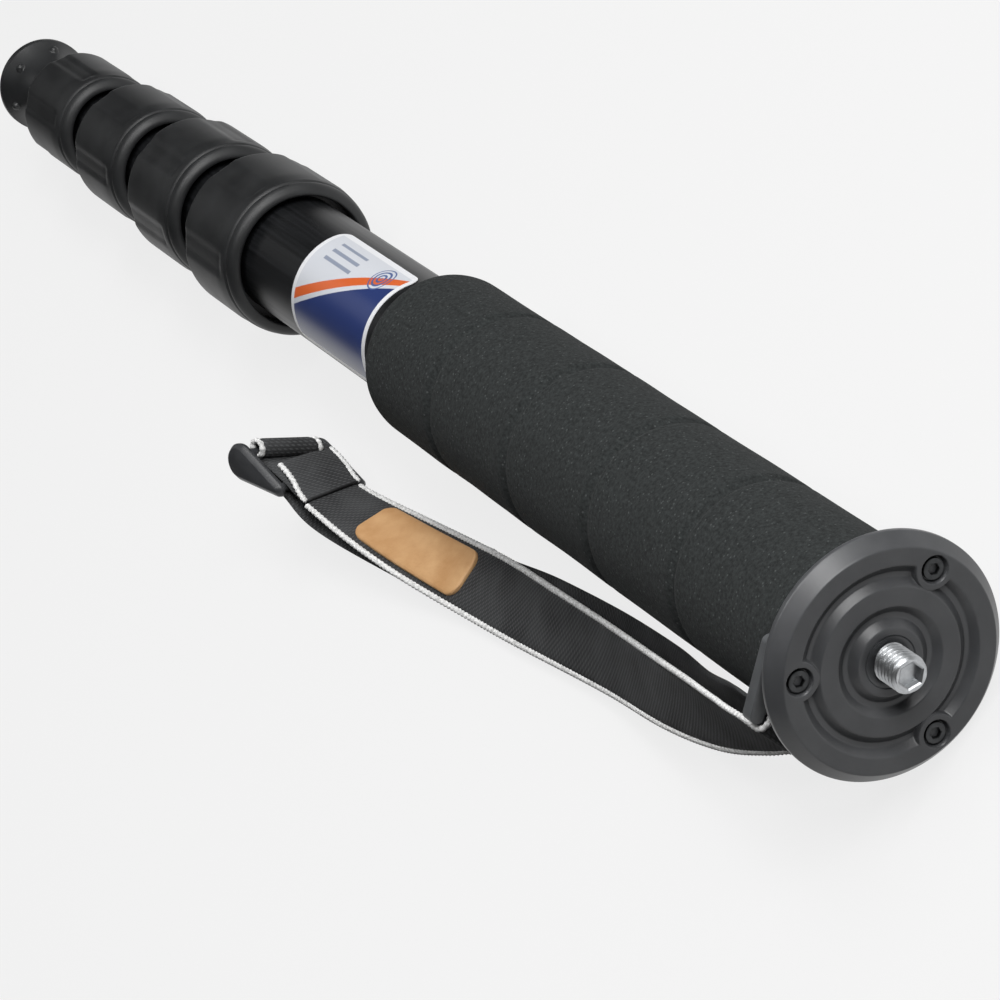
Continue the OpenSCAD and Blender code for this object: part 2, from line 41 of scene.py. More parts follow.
def hexToLinear(code):
    channels = [int(code[k:k + 2], 16) / 255 for k in (1, 3, 5)]
    linear = [c / 12.92 if c <= 0.04045 else ((c + 0.055) / 1.055) ** 2.4 for c in channels]
    return (*linear, 1.0)


# adds one node, sets its settings, and fills or links its sockets
def addNode(tree, kind, sockets=None, **settings):
    node = tree.nodes.new(kind)
    for name, value in settings.items():
        setattr(node, name, value)
    for name, value in (sockets or {}).items():
        if isinstance(value, bpy.types.NodeSocket):
            tree.links.new(value, node.inputs[name])
        else:
            node.inputs[name].default_value = value
    return node


# a texture scale whose features are this many millimetres apart, on coordinates in metres
def perMetre(sizeMm):
    return 1000.0 / sizeMm


# the emptied node tree of a material or a world
def emptyTree(block):
    block.use_nodes = True
    block.node_tree.nodes.clear()
    return block.node_tree


# an empty material with its surface shader, ready for the pattern nodes
def startMaterial(name, **sockets):
    material = bpy.data.materials.new(name)
    tree = emptyTree(material)
    shader = addNode(tree, "ShaderNodeBsdfPrincipled", {k.replace("_", " "): v for k, v in sockets.items()})
    addNode(tree, "ShaderNodeOutputMaterial", {"Surface": shader.outputs["BSDF"]})
    return material, tree, shader


# lays two colours over a pattern, between two levels of it
def colourBetween(tree, pattern, low, high, lowColour, highColour):
    ramp = addNode(tree, "ShaderNodeValToRGB", {"Fac": pattern})
    ramp.color_ramp.elements[0].position = low
    ramp.color_ramp.elements[1].position = high
    ramp.color_ramp.elements[0].color = hexToLinear(lowColour)
    ramp.color_ramp.elements[1].color = hexToLinear(highColour)
    return ramp.outputs["Color"]


# colours the surface by a pattern
def paintSurface(tree, shader, pattern, low, high, lowColour, highColour):
    tree.links.new(colourBetween(tree, pattern, low, high, lowColour, highColour), shader.inputs["Base Color"])


# roughens the surface by a pattern
def roughenSurface(tree, shader, pattern, low, high):
    rough = addNode(tree, "ShaderNodeMapRange", {"Value": pattern, "To Min": low, "To Max": high})
    tree.links.new(rough.outputs[0], shader.inputs["Roughness"])


# coordinates on the piece, in metres
def placeOn(tree, kind="Object"):
    return addNode(tree, "ShaderNodeTexCoord").outputs[kind]


def noiseOver(tree, place, sizeMm, detail, **more):
    sockets = {"Vector": place, "Scale": perMetre(sizeMm), "Detail": detail, **more}
    return addNode(tree, "ShaderNodeTexNoise", sockets).outputs["Fac"]


# raises the surface by a pattern, in millimetres
def raiseSurface(tree, shader, pattern, depthMm, strength=1.0):
    bump = addNode(tree, "ShaderNodeBump", {"Height": pattern, "Distance": depthMm * mm, "Strength": strength})
    tree.links.new(bump.outputs["Normal"], shader.inputs["Normal"])


# camera solved from the photograph's circles: plate, grip grooves and collar rims
cameraLook = {
    "lens": 172.25,
    "sensor": 36.0,
    "clipEnd": 50.0,
    "place": (0.8929, 0.0, 0.6461),
    "right": (0.41588, 0.56368, -0.71366),
    "up": (-0.30263, 0.82579, 0.47590),
}
right = Vector(cameraLook["right"]).normalized()
up = Vector(cameraLook["up"])
up = (up - up.dot(right) * right).normalized()
back = right.cross(up)
cameraData = bpy.data.cameras.new("photoCamera")
cameraData.lens = cameraLook["lens"]
cameraData.sensor_width = cameraLook["sensor"]
cameraData.clip_end = cameraLook["clipEnd"]
camera = bpy.data.objects.new("photoCamera", cameraData)
bpy.context.scene.collection.objects.link(camera)
turn = Matrix((right, up, back)).transposed().to_4x4()
camera.matrix_world = Matrix.Translation(Vector(cameraLook["place"])) @ turn
bpy.context.scene.camera = camera
print("camera set")


# studio: pale floor, a broad soft box above and to one side, a smaller one straight above, one before the plate
# and two weak ones; the leg lies on its plate's rim and on the first collar's back edge, so the floor slopes along
# it, and past the foot it falls away again, clear of the sections when they are drawn out
studio = {
    "paper": "#f2f2f2",
    "bounce": "#484848",
    "floorZ": -30.8 * mm,
    "floorSlope": (30.8 - 24.0) / 390,
    "floorTurn": -0.6,
    "floorSize": 8.0,
    "shadowShare": 0.10,
    "ambient": 0.05,
    "lamps": [
        {"name": "overhead", "place": (0.0, 0.6, 1.1), "aim": (-0.22, 0, 0), "size": (1.2, 0.4), "power": 10.5},
        {"name": "top", "place": (0.0, 0.0, 1.25), "aim": (-0.22, 0, 0), "size": (0.6, 0.3), "power": 5},
        {"name": "front", "place": (0.68, 0.5, 0.8), "aim": (0, 0, 0), "size": (0.6, 0.5), "power": 8.5},
        {"name": "edgeStrip", "place": (-0.3, 1.1, 0.6), "aim": (-0.25, 0, 0), "size": (1.2, 0.4), "power": 1.5},
        {"name": "rear", "place": (-1.5, -0.15, 0.85), "aim": (-0.3, 0, 0), "size": (0.5, 0.4), "power": 0.4},
    ],
}


def makeFloor():
    half = studio["floorSize"] / 2
    mesh = bpy.data.meshes.new("studioFloor")
    bend = studio["floorTurn"]

    def heightAt(x):
        return studio["floorZ"] - studio["floorSlope"] * (x if x > bend else 2 * bend - x)

    corners = [(x, y, heightAt(x)) for x in (half, bend, -half) for y in (-half, half)]
    mesh.from_pydata(corners, [], [(0, 1, 3, 2), (2, 3, 5, 4)])
    floor = bpy.data.objects.new("studioFloor", mesh)
    bpy.context.scene.collection.objects.link(floor)
    material = bpy.data.materials.new("matte white paper roll")
    tree = emptyTree(material)
    paper = hexToLinear(studio["paper"])
    rays = addNode(tree, "ShaderNodeLightPath")
    seen = addNode(tree, "ShaderNodeMath", {0: rays.outputs["Is Camera Ray"], 1: rays.outputs["Is Glossy Ray"]},
                   operation="MAXIMUM")
    seen = addNode(tree, "ShaderNodeMath", {0: seen.outputs[0], 1: rays.outputs["Is Transmission Ray"]},
                   operation="MAXIMUM")
    share = addNode(tree, "ShaderNodeMath", {0: seen.outputs[0], 1: 1.0 - studio["shadowShare"]},
                    operation="MULTIPLY")
    # the paper throws less light back at the object than its own white would
    bounce = hexToLinear(studio["bounce"])
    tone = addNode(tree, "ShaderNodeMix", {"Factor": seen.outputs[0], "A": bounce, "B": paper}, data_type="RGBA")
    lit = addNode(tree, "ShaderNodeBsdfDiffuse", {"Color": tone.outputs["Result"]})
    plain = addNode(tree, "ShaderNodeEmission", {"Color": paper, "Strength": 1.0})
    mix = addNode(tree, "ShaderNodeMixShader", {0: share.outputs[0], 1: lit.outputs[0], 2: plain.outputs[0]})
    addNode(tree, "ShaderNodeOutputMaterial", {"Surface": mix.outputs[0]})
    mesh.materials.append(material)


def makeWorld():
    world = bpy.data.worlds.new("studioRoom")
    tree = emptyTree(world)
    paper = hexToLinear(studio["paper"])
    rays = addNode(tree, "ShaderNodeLightPath")
    seen = addNode(tree, "ShaderNodeMath", {0: rays.outputs["Is Camera Ray"], 1: rays.outputs["Is Transmission Ray"]},
                   operation="MAXIMUM")
    room = addNode(tree, "ShaderNodeBackground", {"Color": (1, 1, 1, 1), "Strength": studio["ambient"]})
    plain = addNode(tree, "ShaderNodeBackground", {"Color": paper, "Strength": 1.0})
    mix = addNode(tree, "ShaderNodeMixShader", {0: seen.outputs[0], 1: room.outputs[0], 2: plain.outputs[0]})
    addNode(tree, "ShaderNodeOutputWorld", {"Surface": mix.outputs[0]})
    bpy.context.scene.world = world


def makeLamps():
    for spec in studio["lamps"]:
        data = bpy.data.lights.new(spec["name"], "AREA")
        data.shape = "RECTANGLE"
        data.size, data.size_y = spec["size"]
        data.energy = spec["power"]
        lamp = bpy.data.objects.new(spec["name"], data)
        bpy.context.scene.collection.objects.link(lamp)
        lamp.location = spec["place"]
        aim = Vector(spec["aim"]) - Vector(spec["place"])
        lamp.rotation_euler = aim.to_track_quat("-Z", "Y").to_euler()


makeFloor()
makeWorld()
makeLamps()
bpy.context.scene.view_settings.view_transform = "Standard"
print("studio set")


# powder-coated die casting: satin charcoal with a very fine orange peel
def paintedCasting(name, lowColour, highColour, roughness):
    material, tree, shader = startMaterial(name, Roughness=roughness, IOR=1.5, Specular_IOR_Level=0.5)
    place = placeOn(tree)
    paintSurface(tree, shader, noiseOver(tree, place, 9, 3.0), 0.35, 0.65, lowColour, highColour)
    raiseSurface(tree, shader, noiseOver(tree, place, 0.7, 2.0), 0.03, 0.5)
    return material


# turned steel: bright, with fine tool rings across the axis
def turnedSteel(name, lowColour, highColour, roughness):
    material, tree, shader = startMaterial(name, Metallic=1.0)
    stretched = addNode(tree, "ShaderNodeMapping", {"Vector": placeOn(tree), "Scale": (6, 1, 1)})
    rings = noiseOver(tree, stretched.outputs[0], 1.5, 3.0)
    paintSurface(tree, shader, rings, 0.3, 0.7, lowColour, highColour)
    roughenSurface(tree, shader, rings, roughness, roughness + 0.08)
    return material


# closed-cell foam rubber, ground on a lathe: a matt skin of fine open cells, pale specks in a dark ground
def foamRubber():
    material, tree, shader = startMaterial("closed-cell foam rubber, ground", Roughness=0.92, IOR=1.45,
                                           Specular_IOR_Level=0.12, Sheen_Weight=0.03, Sheen_Roughness=0.6)
    place = placeOn(tree)
    cells = noiseOver(tree, place, 1.0, 4.0, Roughness=0.7)
    specks = addNode(tree, "ShaderNodeTexVoronoi", {"Vector": place, "Scale": perMetre(1.7), "Randomness": 1.0})
    ground = colourBetween(tree, cells, 0.35, 0.72, "#1f2121", "#373a3a")
    dots = addNode(tree, "ShaderNodeMapRange", {"Value": specks.outputs["Distance"], "From Min": 0.10,
                                               "From Max": 0.2, "To Min": 0.5, "To Max": 0.0})
    mix = addNode(tree, "ShaderNodeMix", {"Factor": dots.outputs[0], "A": ground, "B": hexToLinear("#5a5d5d")},
                  data_type="RGBA")
    tree.links.new(mix.outputs["Result"], shader.inputs["Base Color"])
    raiseSurface(tree, shader, cells, 0.35, 0.6)
    return material


# drawn aluminium tube, black anodised: satin, with long faint drawing lines
def anodisedTube():
    material, tree, shader = startMaterial("drawn aluminium tube, black anodised", IOR=1.5, Specular_IOR_Level=0.3)
    drawn = addNode(tree, "ShaderNodeMapping", {"Vector": placeOn(tree), "Scale": (0.02, 1, 1)})
    lines = noiseOver(tree, drawn.outputs[0], 1.2, 4.0)
    paintSurface(tree, shader, lines, 0.35, 0.7, "#0d0e0f", "#1c1d1f")
    roughenSurface(tree, shader, lines, 0.32, 0.46)
    raiseSurface(tree, shader, lines, 0.02, 0.4)
    return material


# moulded rubber: matt, faintly dusty, with the mould's fine spark-eroded grain
def mouldedRubber(name, lowColour, highColour, roughness, grainMm):
    material, tree, shader = startMaterial(name, IOR=1.5)
    place = placeOn(tree)
    bloom = noiseOver(tree, place, 11, 4.0)
    paintSurface(tree, shader, bloom, 0.35, 0.68, lowColour, highColour)
    roughenSurface(tree, shader, bloom, roughness - 0.06, roughness + 0.08)
    raiseSurface(tree, shader, noiseOver(tree, place, grainMm, 2.0), 0.03, 0.4)
    return material


# moulded nylon, acetal and ABS: an even satin skin with faint flow marks
def mouldedPlastic(name, lowColour, highColour, roughness):
    material, tree, shader = startMaterial(name, Roughness=roughness, IOR=1.49)
    place = placeOn(tree)
    flow = noiseOver(tree, place, 6, 3.0, Distortion=0.4)
    paintSurface(tree, shader, flow, 0.35, 0.65, lowColour, highColour)
    raiseSurface(tree, shader, noiseOver(tree, place, 0.5, 1.0), 0.02, 0.35)
    return material


# the wave texture's straight and diagonal bands repeat at these steps, at a scale of one
waveStep = {"X": 0.314, "DIAGONAL": 0.628}


# polyester twill webbing: slanting ribs of thread; the real 0.6 mm ribs are drawn 1.3 mm apart to show
def twillWebbing():
    material, tree, shader = startMaterial("polyester webbing, twill woven", Roughness=0.82, IOR=1.5,
                                           Specular_IOR_Level=0.1, Sheen_Weight=0.03, Sheen_Roughness=0.5)
    place = placeOn(tree, "UV")
    ribScale, pickScale = waveStep["DIAGONAL"] * perMetre(1.8), waveStep["X"] * perMetre(0.9)
    ribs = addNode(tree, "ShaderNodeTexWave", {"Vector": place, "Scale": ribScale, "Distortion": 0.6, "Detail": 1.0},
                   bands_direction="DIAGONAL")
    picks = addNode(tree, "ShaderNodeTexWave", {"Vector": place, "Scale": pickScale, "Distortion": 0.5},
                    bands_direction="X")
    weave = addNode(tree, "ShaderNodeMath", {0: ribs.outputs["Fac"], 1: picks.outputs["Fac"]}, operation="MULTIPLY")
    wear = noiseOver(tree, place, 14, 3.0)
    tone = addNode(tree, "ShaderNodeMath", {0: weave.outputs[0], 1: 0.7, 2: wear}, operation="MULTIPLY_ADD")
    paintSurface(tree, shader, tone.outputs[0], 0.3, 1.1, "#2a2a2b", "#4c4d4e")
    raiseSurface(tree, shader, weave.outputs[0], 0.25, 0.6)
    return material


# white cotton edging cord: soft, with a painted shade that greys it where its fibre bump sinks, between its strands
def cottonEdging():
    material, tree, shader = startMaterial("white cotton edging, corded", Roughness=0.9, IOR=1.5,
                                           Specular_IOR_Level=0.2, Sheen_Weight=0.2)
    fibreAndShade = noiseOver(tree, placeOn(tree), 0.8, 3.0)
    # painted shade: the colour darkens wherever the same pattern lowers the surface
    paintSurface(tree, shader, fibreAndShade, 0.3, 0.6, "#b9b9b8", "#e9e9e8")
    raiseSurface(tree, shader, fibreAndShade, 0.2, 0.5)
    return material


# vegetable-tanned leather: warm tan with cloudy dye and a fine pebbled grain
def tannedLeather():
    material, tree, shader = startMaterial("vegetable-tanned leather, smooth", Roughness=0.62, IOR=1.5,
                                           Specular_IOR_Level=0.35)
    place = placeOn(tree)
    paintSurface(tree, shader, noiseOver(tree, place, 7, 5.0), 0.3, 0.7, "#b38759", "#c89f72")
    pores = addNode(tree, "ShaderNodeTexVoronoi", {"Vector": place, "Scale": perMetre(0.9)})
    raiseSurface(tree, shader, pores.outputs["Distance"], 0.12, 0.4)
    return material


# printed polyester film: glossy white with a navy field, an orange sweep, rings and short bars on silver grey
labelPrint = {
    "radius": 18.2,
    "from": 266.0,
    "length": 53.0,
    "low": -75.0,
    "high": 50.0,
    "corner": 4.0,
    "margin": 2.0,
    "lean": -0.42,
    "navyFrom": -9.0,
    "sweepAt": -12.2,
    "sweepHalf": 1.6,
    "ringAt": (12.0, 8.5),
    "ringPitch": 1.5,
    "ringBlank": 0.4,
    "ringReach": 4.6,
    "barFrom": 3.0,
    "barPitch": 1.6,
    "barBlank": 1.0,
    "barAt": (36.0, 7.0),
    "barHalf": (9.0, 4.4),
    "columns": 48,
    "rows": 40,
    "lifts": (0.06, -0.1),
}


def printedFilm():
    material, tree, shader = startMaterial("polyester film, printed", Roughness=0.3, IOR=1.55)
    spec = labelPrint
    xyz = addNode(tree, "ShaderNodeSeparateXYZ", {0: placeOn(tree)})

    def mathOf(operation, *values):
        return addNode(tree, "ShaderNodeMath", dict(enumerate(values)), operation=operation).outputs[0]

    # a soft step at zero, about a sixth of a millimetre wide
    def inside(value):
        step = addNode(tree, "ShaderNodeMath", {0: value, 1: 6.0, 2: 0.5}, operation="MULTIPLY_ADD")
        step.use_clamp = True
        return step.outputs[0]

    # the band within this distance of a value
    def within(half, value, middle):
        return inside(mathOf("SUBTRACT", half, mathOf("ABSOLUTE", mathOf("SUBTRACT", value, middle))))

    # s runs round the tube and u along it, both in millimetres
    s = mathOf("MULTIPLY", mathOf("ARCTAN2", xyz.outputs["Y"], xyz.outputs["Z"]), spec["radius"])
    u = mathOf("MULTIPLY_ADD", xyz.outputs["X"], -1 / mm, -spec["from"])
    lowS, highS = (math.radians(spec[k]) * spec["radius"] for k in ("low", "high"))
    margin = spec["margin"]
    frameField = mathOf("MINIMUM", mathOf("SUBTRACT", s, lowS + margin), mathOf("SUBTRACT", highS - margin, s))
    frameField = mathOf("MINIMUM", frameField, mathOf("SUBTRACT", u, margin))
    frameField = inside(mathOf("MINIMUM", frameField, mathOf("SUBTRACT", spec["length"] - margin, u)))
    slope = mathOf("MULTIPLY_ADD", u, spec["lean"], mathOf("MULTIPLY", s, -1.0))
    navyField = mathOf("MULTIPLY", inside(mathOf("SUBTRACT", slope, spec["navyFrom"])), frameField)
    sweep = mathOf("MULTIPLY", within(spec["sweepHalf"], slope, spec["sweepAt"]), frameField)
    ringU, ringS = mathOf("SUBTRACT", u, spec["ringAt"][0]), mathOf("SUBTRACT", s, spec["ringAt"][1])
    reach = mathOf("SQRT", mathOf("ADD", mathOf("MULTIPLY", ringU, ringU), mathOf("MULTIPLY", ringS, ringS)))
    rings = mathOf("SUBTRACT", mathOf("PINGPONG", reach, spec["ringPitch"]), spec["ringPitch"] / 2)
    rings = inside(mathOf("SUBTRACT", mathOf("ABSOLUTE", rings), spec["ringBlank"]))
    rings = mathOf("MULTIPLY", rings, inside(mathOf("SUBTRACT", spec["ringReach"], reach)))
    bars = mathOf("PINGPONG", mathOf("SUBTRACT", s, spec["barFrom"]), spec["barPitch"])
    bars = inside(mathOf("SUBTRACT", bars, spec["barBlank"]))
    for half, value, middle in zip(spec["barHalf"], (u, s), spec["barAt"]):
        bars = mathOf("MULTIPLY", bars, within(half, value, middle))
    colour = hexToLinear("#e4e5e8")
    for mask, tint in ((frameField, "#cfd2d8"), (navyField, "#27376b"), (sweep, "#d4632f"), (rings, "#4a5f92"),
                       (bars, "#8f97a8")):
        sockets = {"Factor": mask, "A": colour, "B": hexToLinear(tint)}
        colour = addNode(tree, "ShaderNodeMix", sockets, data_type="RGBA").outputs["Result"]
    tree.links.new(colour, shader.inputs["Base Color"])
    return material


finish = {
    "plate": paintedCasting("die-cast aluminium, powder coated", "#424345", "#4a4b4d", 0.36),
    "bracket": paintedCasting("die-cast zinc, painted grey", "#4c4e50", "#585a5c", 0.45),
    "casting": paintedCasting("die-cast aluminium, plain black coat", "#2e2f31", "#38393b", 0.5),
    "steel": turnedSteel("stainless steel, turned", "#aaacae", "#c2c4c6", 0.34),
    "black_steel": turnedSteel("steel, black oxide", "#3a3b3c", "#4a4b4c", 0.34),
    "foam": foamRubber(),
    "label": printedFilm(),
    "tube": anodisedTube(),
    "bush": mouldedPlastic("nylon, moulded natural", "#cfccc2", "#dedbd2", 0.45),
    "sleeve": mouldedPlastic("ABS, moulded black", "#232426", "#2c2d2f", 0.4),
    "nut": mouldedPlastic("ABS, moulded charcoal", "#2a2b2d", "#333436", 0.45),
    "grip_rubber": mouldedRubber("rubber, moulded matt", "#1a1b1c", "#262728", 0.46, 0.6),
    "foot_rubber": mouldedRubber("rubber, moulded satin", "#1f2021", "#2a2b2c", 0.4, 0.8),
    "webbing": twillWebbing(),
    "slider": mouldedPlastic("acetal, moulded black", "#2f3032", "#393a3c", 0.42),
    "leather": tannedLeather(),
}
edgingFinish = cottonEdging()
for solid in nodes.values():
    for socket in solid.material_slots:
        socket.material = finish[socket.material.name]
print("finishes made:", len(finish) + 1)


# a point on the leg: t from the plate's face towards the foot, r from the axis, a from straight up towards +Y
def legPoint(t, r, a):
    return (-t * mm, r * math.sin(a) * mm, r * math.cos(a) * mm)


def makePiece(name, points, faces, body, material, stands=(), sharpAt=None):
    mesh = bpy.data.meshes.new(name)
    mesh.from_pydata(points, [], faces)
    mesh.materials.append(finish[material] if isinstance(material, str) else material)
    mesh.shade_smooth()
    if sharpAt:
        mesh.set_sharp_from_angle(angle=math.radians(sharpAt))
    piece = bpy.data.objects.new(name, mesh)
    bpy.context.scene.collection.objects.link(piece)
    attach(piece, body)
    if stands:
        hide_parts(*stands)
    return piece


# softens each corner of an open profile with a short curve that takes less than half of a side
def softCorners(corners, radius, steps=3):
    out = [corners[0]]
    for before, corner, after in zip(corners, corners[1:], corners[2:]):
        p, c, n = Vector(before), Vector(corner), Vector(after)
        cut = min(radius, (c - p).length * 0.45, (n - c).length * 0.45)
        a = c + (p - c).normalized() * cut
        b = c + (n - c).normalized() * cut
        for k in range(steps + 1):
            v = k / steps
            out.append(tuple((1 - v) ** 2 * a + 2 * v * (1 - v) * c + v * v * b))
    out.append(corners[-1])
    return out


# adds points so that no step along a profile is longer than this
def fillProfile(profile, longest):
    out = [profile[0]]
    for a, b in zip(profile, profile[1:]):
        count = max(1, math.ceil((Vector(b) - Vector(a)).length / longest))
        out += [tuple(Vector(a).lerp(Vector(b), k / count)) for k in range(1, count + 1)]
    return out


def smoothStep(value, low, high):
    v = min(1.0, max(0.0, (value - low) / (high - low)))
    return v * v * (3 - 2 * v)


# quads over rows of equal length, each row closed on itself
def ringFaces(rows, columns, closeRows=False, start=0):
    faces = []
    for i in range(rows if closeRows else rows - 1):
        a, b = start + i * columns, start + (i + 1) % rows * columns
        for j in range(columns):
            n = (j + 1) % columns
            faces.append((a + j, a + n, b + n, b + j))
    return faces


# faces of a thin slab: two layers of columns by rows of cells, and the rim between them
def slabFaces(columns, rows, flip=False):
    wide, layer = rows + 1, (columns + 1) * (rows + 1)
    faces = []
    for i in range(columns):
        for j in range(rows):
            a = i * wide + j
            b = layer + a
            faces += [(a, a + wide, a + wide + 1, a + 1), (b, b + 1, b + wide + 1, b + wide)]
    rim = [i * wide for i in range(columns + 1)] + [columns * wide + j for j in range(1, wide)]
    rim += [i * wide + rows for i in range(columns - 1, -1, -1)] + list(range(rows - 1, 0, -1))
    faces += [(a, layer + a, layer + b, b) for a, b in zip(rim, rim[1:] + rim[:1])]
    return [face[:1] + face[:0:-1] for face in faces] if flip else faces


# how far a slab's side draws in at its rounded corners, at a distance along it
def cornerCut(along, length, corner):
    edge = max(0.0, corner - min(along, length - along))
    return corner - math.sqrt(max(0.0, corner ** 2 - edge ** 2))


# turned ends close on a hole this small
pinhole = 0.02


# turns a (t, r) profile round the leg's axis; shape moves each point
def turnedPiece(name, profile, segments, body, material, stands, shape):
    points = []
    for t, r in profile:
        for k in range(segments):
            a = 2 * math.pi * k / segments
            points.append(legPoint(*shape(t, r, a), a))
    return makePiece(name, points, ringFaces(len(profile), segments, True), body, material, [stands])


headPlate = {
    "face": [(0.4, 4.1), (0.4, 6.4), (0, 6.6), (0, 8.4), (1.9, 10.4), (1.9, 11.7), (0, 13.7), (0, 18.3),
             (1.9, 20.3), (1.9, 21.5), (0, 23.5), (0, 27.8), (3.8, 30.8), (5, 30.8)],
    "back": [(5, 26), (5, 4.1)],
    "soft": 0.32,
    "screws": 3,
    "screwCircle": 23.6,
    "screwTurn": 79.0,
    "bossRadius": 5.0,
    "bossEdge": (-0.15, 0.2),
    "bossReach": 25.5,
    "holeRadius": 3.3,
    "holeEdge": (-0.2, 0.25),
    "holeDepth": 1.7,
    "holeBand": (17.5, 29.0),
    "holeBack": 4.9,
    "holeStep": 0.28,
    "segments": 600,
}


def screwCentres():
    for k in range(headPlate["screws"]):
        a = math.radians(headPlate["screwTurn"] + 360 * k / headPlate["screws"])
        yield a, headPlate["screwCircle"] * math.sin(a), headPlate["screwCircle"] * math.cos(a)


def makePlate():
    spec = headPlate
    bandFrom, bandTo = spec["holeBand"]
    profile = softCorners(spec["face"], spec["soft"], steps=4)
    inner = [p for p in profile if p[1] < bandFrom]
    outer = fillProfile([p for p in profile if p[1] >= bandFrom], spec["holeStep"])
    centres = list(screwCentres())

    # each boss fills the outer groove round its screw, and the screw's hole is sunk in it
    def bossAndHole(t, r, a):
        if t >= spec["holeBack"] or not bandFrom < r < bandTo:
            return t, r
        y, z = r * math.sin(a), r * math.cos(a)
        near = min(math.hypot(y - cy, z - cz) for _, cy, cz in centres)
        if r < spec["bossReach"]:
            t *= smoothStep(near, *(spec["bossRadius"] + off for off in spec["bossEdge"]))
        hole = 1.0 - smoothStep(near, *(spec["holeRadius"] + off for off in spec["holeEdge"]))
        return t + spec["holeDepth"] * hole, r

    profile = inner + outer + spec["back"]
    turnedPiece("headPlate", profile, spec["segments"], "head", "plate", "top_plate", bossAndHole)


plateScrew = {"head": 2.75, "sink": 0.5, "height": 2.2, "chamfer": 0.35, "flats": 2.5, "socket": 1.5,
              "lead": 0.15, "leadWide": 1.12, "shank": 2.0, "end": 10.5, "segments": 48}


# radius of a hexagon at an angle, with a corner at zero
def hexRadius(flats, a):
    return flats / 2 / math.cos(a % (math.pi / 3) - math.pi / 6)


def makeScrews():
    spec = plateScrew
    n = spec["segments"]
    top, head, cut = spec["sink"], spec["head"], spec["chamfer"]
    floor, under = top + spec["socket"], top + spec["height"]
    rows = [("hex", floor, pinhole), ("hex", floor, 1.0), ("hex", top + spec["lead"], 1.0),
            ("hex", top, spec["leadWide"]), ("round", top, head - cut), ("round", top + cut * 0.3, head - cut * 0.3),
            ("round", top + cut, head), ("round", under, head), ("round", under, spec["shank"]),
            ("round", spec["end"], spec["shank"]), ("round", spec["end"], pinhole)]
    points, faces = [], []
    for a0, cy, cz in screwCentres():
        start = len(points)
        for kind, t, r in rows:
            for k in range(n):
                a = 2 * math.pi * k / n
                reach = r * hexRadius(spec["flats"], a) if kind == "hex" else r
                points.append((-t * mm, (cy + reach * math.sin(a + a0)) * mm, (cz + reach * math.cos(a + a0)) * mm))
        faces += ringFaces(len(rows), n, False, start)
    makePiece("plateScrews", points, faces, "head", "black_steel", ["plate_screws"], sharpAt=35)


cameraStud = {"radius": 4.7625, "pitch": 1.5875, "depth": 0.9, "crest": 0.14, "flank": 0.72, "out": 9.4,
              "seat": 0.4, "tip": 4.0, "tipSlope": 0.95, "tipRim": 0.25, "tipOver": 0.02, "flats": 5.5,
              "socket": 2.4, "lead": 0.35, "leadWide": 1.14, "floorDip": 0.05, "shank": 4.0, "end": 20.4,
              "segments": 96, "step": 0.09}


def makeStud():
    spec = cameraStud
    n = spec["segments"]
    rows = [[(spec["end"], pinhole)] * n, [(spec["end"], spec["shank"])] * n, [(spec["seat"], spec["shank"])] * n]
    count = round((spec["out"] + spec["seat"]) / spec["step"])
    for k in range(count + 1):
        t = spec["seat"] - (spec["out"] + spec["seat"]) * k / count
        cone = spec["tip"] + (t + spec["out"]) * spec["tipSlope"]
        row = []
        for j in range(n):
            flank = abs((t / spec["pitch"] + j / n) % 1.0 - 0.5) * 2
            flank = min(1.0, max(0.0, (flank - spec["crest"]) / spec["flank"]))
            row.append((t, min(cone, spec["radius"] - spec["depth"] * flank)))
        rows.append(row)
    hexa = [hexRadius(spec["flats"], 2 * math.pi * j / n) for j in range(n)]
    tip, floor = -spec["out"], -spec["out"] + spec["socket"]
    over = tip - spec["tipOver"]
    rows += [[(over, spec["tip"] - spec["tipRim"])] * n, [(over, spec["leadWide"] * h) for h in hexa],
             [(tip + spec["lead"], h) for h in hexa], [(floor, h) for h in hexa],
             [(floor + spec["floorDip"], pinhole)] * n]
    points = [legPoint(t, r, 2 * math.pi * j / n) for row in rows for j, (t, r) in enumerate(row)]
    makePiece("cameraStud", points, ringFaces(len(rows), n), "head", "steel", ["camera_stud"], sharpAt=40)


foamGrip = {"from": 10.5, "to": 254.0, "radius": 23.9, "bore": 18.05, "round": 3.0, "roundSteps": 6,
            "rings": [65.7, 114.0, 162.3, 210.6], "ringWidth": 5.0, "ringDepth": 1.25, "unevenness": 0.18,
            "lumpAlong": 0.05, "lumpAround": 1.6, "segments": 144, "step": 1.1}


def makeGrip():
    spec = foamGrip
    outer, f, e, rd = spec["radius"], spec["from"], spec["to"], spec["round"]

    def roundedEnd(t0, way):
        angles = [math.pi / 2 * k / spec["roundSteps"] for k in range(spec["roundSteps"] + 1)]
        return [(t0 + way * rd * (1 - math.cos(a)), outer - rd * (1 - math.sin(a))) for a in angles]

    count = round((e - f - 2 * rd) / spec["step"])
    body = [(f + rd + (e - f - 2 * rd) * k / count, outer) for k in range(1, count)]
    profile = [(f, spec["bore"])] + roundedEnd(f, 1) + body + roundedEnd(e, -1)[::-1] + [(e, spec["bore"])]

    # each ring is a soft round valley, and the ground foam is a little uneven
    def pressRings(t, r, a):
        if r < outer - rd:
            return t, r
        for ring in spec["rings"]:
            off = abs(t - ring) / (spec["ringWidth"] / 2)
            if off < 1:
                r -= spec["ringDepth"] * (0.5 + 0.5 * math.cos(math.pi * off))
        wide = spec["lumpAround"]
        lump = noise.noise(Vector((t * spec["lumpAlong"], math.sin(a) * wide, math.cos(a) * wide)))
        return t, r + spec["unevenness"] * lump

    grip = turnedPiece("foamGrip", profile, spec["segments"], "head", "foam", "foam_grip", pressRings)


